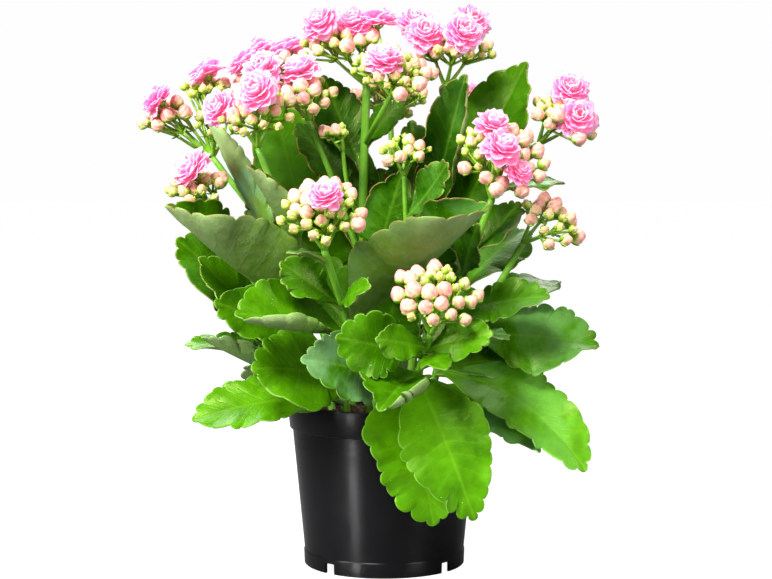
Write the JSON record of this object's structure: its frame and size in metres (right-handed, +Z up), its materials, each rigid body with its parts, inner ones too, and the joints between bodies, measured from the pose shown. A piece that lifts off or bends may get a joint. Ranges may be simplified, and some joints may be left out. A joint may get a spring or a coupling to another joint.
{
  "type": "potted kalanchoe",
  "caption": "Bushy double-flowered kalanchoe with scalloped fleshy leaves and domed heads of buds and blooms, rooted in soil in a round tapered nursery pot.",
  "frame": {"origin": "centre of the underside of the pot's foot disc, on the surface that the pot stands on", "axes": "+Z up along the pot's axis; -Y is the plant's front; +X is to the right seen from the front"},
  "size_m": [0.26, 0.2265, 0.3158],
  "materials": {
    "pot": "satin black injection-moulded plastic",
    "soil": null,
    "stems_and_flowers": null,
    "leaves": null
  },
  "bodies": {
    "root": {"pot": "pot", "soil": "soil", "shoot_back": "stems_and_flowers", "shoot_back_left": "stems_and_flowers", "shoot_centre": "stems_and_flowers", "shoot_front": "stems_and_flowers", "shoot_front_left": "stems_and_flowers", "shoot_left": "stems_and_flowers", "shoot_left_front": "stems_and_flowers", "shoot_right": "stems_and_flowers", "shoot_right_top": "stems_and_flowers", "leaf_front_1": "leaves", "leaf_front_2": "leaves", "leaf_front_3": "leaves", "leaf_front_4": "leaves", "leaf_front_5": "leaves", "leaf_front_6": "leaves", "leaf_front_7": "leaves", "leaf_front_8": "leaves", "leaf_front_9": "leaves", "leaf_front_10": "leaves", "leaf_front_11": "leaves", "leaf_front_12": "leaves", "leaf_front_13": "leaves", "leaf_right_1": "leaves", "leaf_right_2": "leaves", "leaf_right_3": "leaves", "leaf_right_4": "leaves", "leaf_right_5": "leaves", "leaf_right_6": "leaves", "leaf_right_7": "leaves", "leaf_right_8": "leaves", "leaf_right_9": "leaves", "leaf_right_10": "leaves", "leaf_right_11": "leaves", "leaf_left_1": "leaves", "leaf_left_2": "leaves", "leaf_left_3": "leaves", "leaf_left_4": "leaves", "leaf_left_5": "leaves", "leaf_left_6": "leaves", "leaf_left_7": "leaves", "leaf_left_8": "leaves", "leaf_left_9": "leaves", "leaf_top_1": "leaves", "leaf_top_2": "leaves", "leaf_top_3": "leaves", "leaf_top_4": "leaves", "leaf_back_1": "leaves", "leaf_back_2": "leaves", "leaf_back_3": "leaves", "leaf_back_4": "leaves", "leaf_back_5": "leaves", "leaf_back_6": "leaves", "leaf_back_7": "leaves", "leaf_back_8": "leaves", "leaf_back_9": "leaves", "leaf_middle_1": "leaves", "leaf_middle_2": "leaves", "leaf_middle_3": "leaves"}
  },
  "joints": []
}
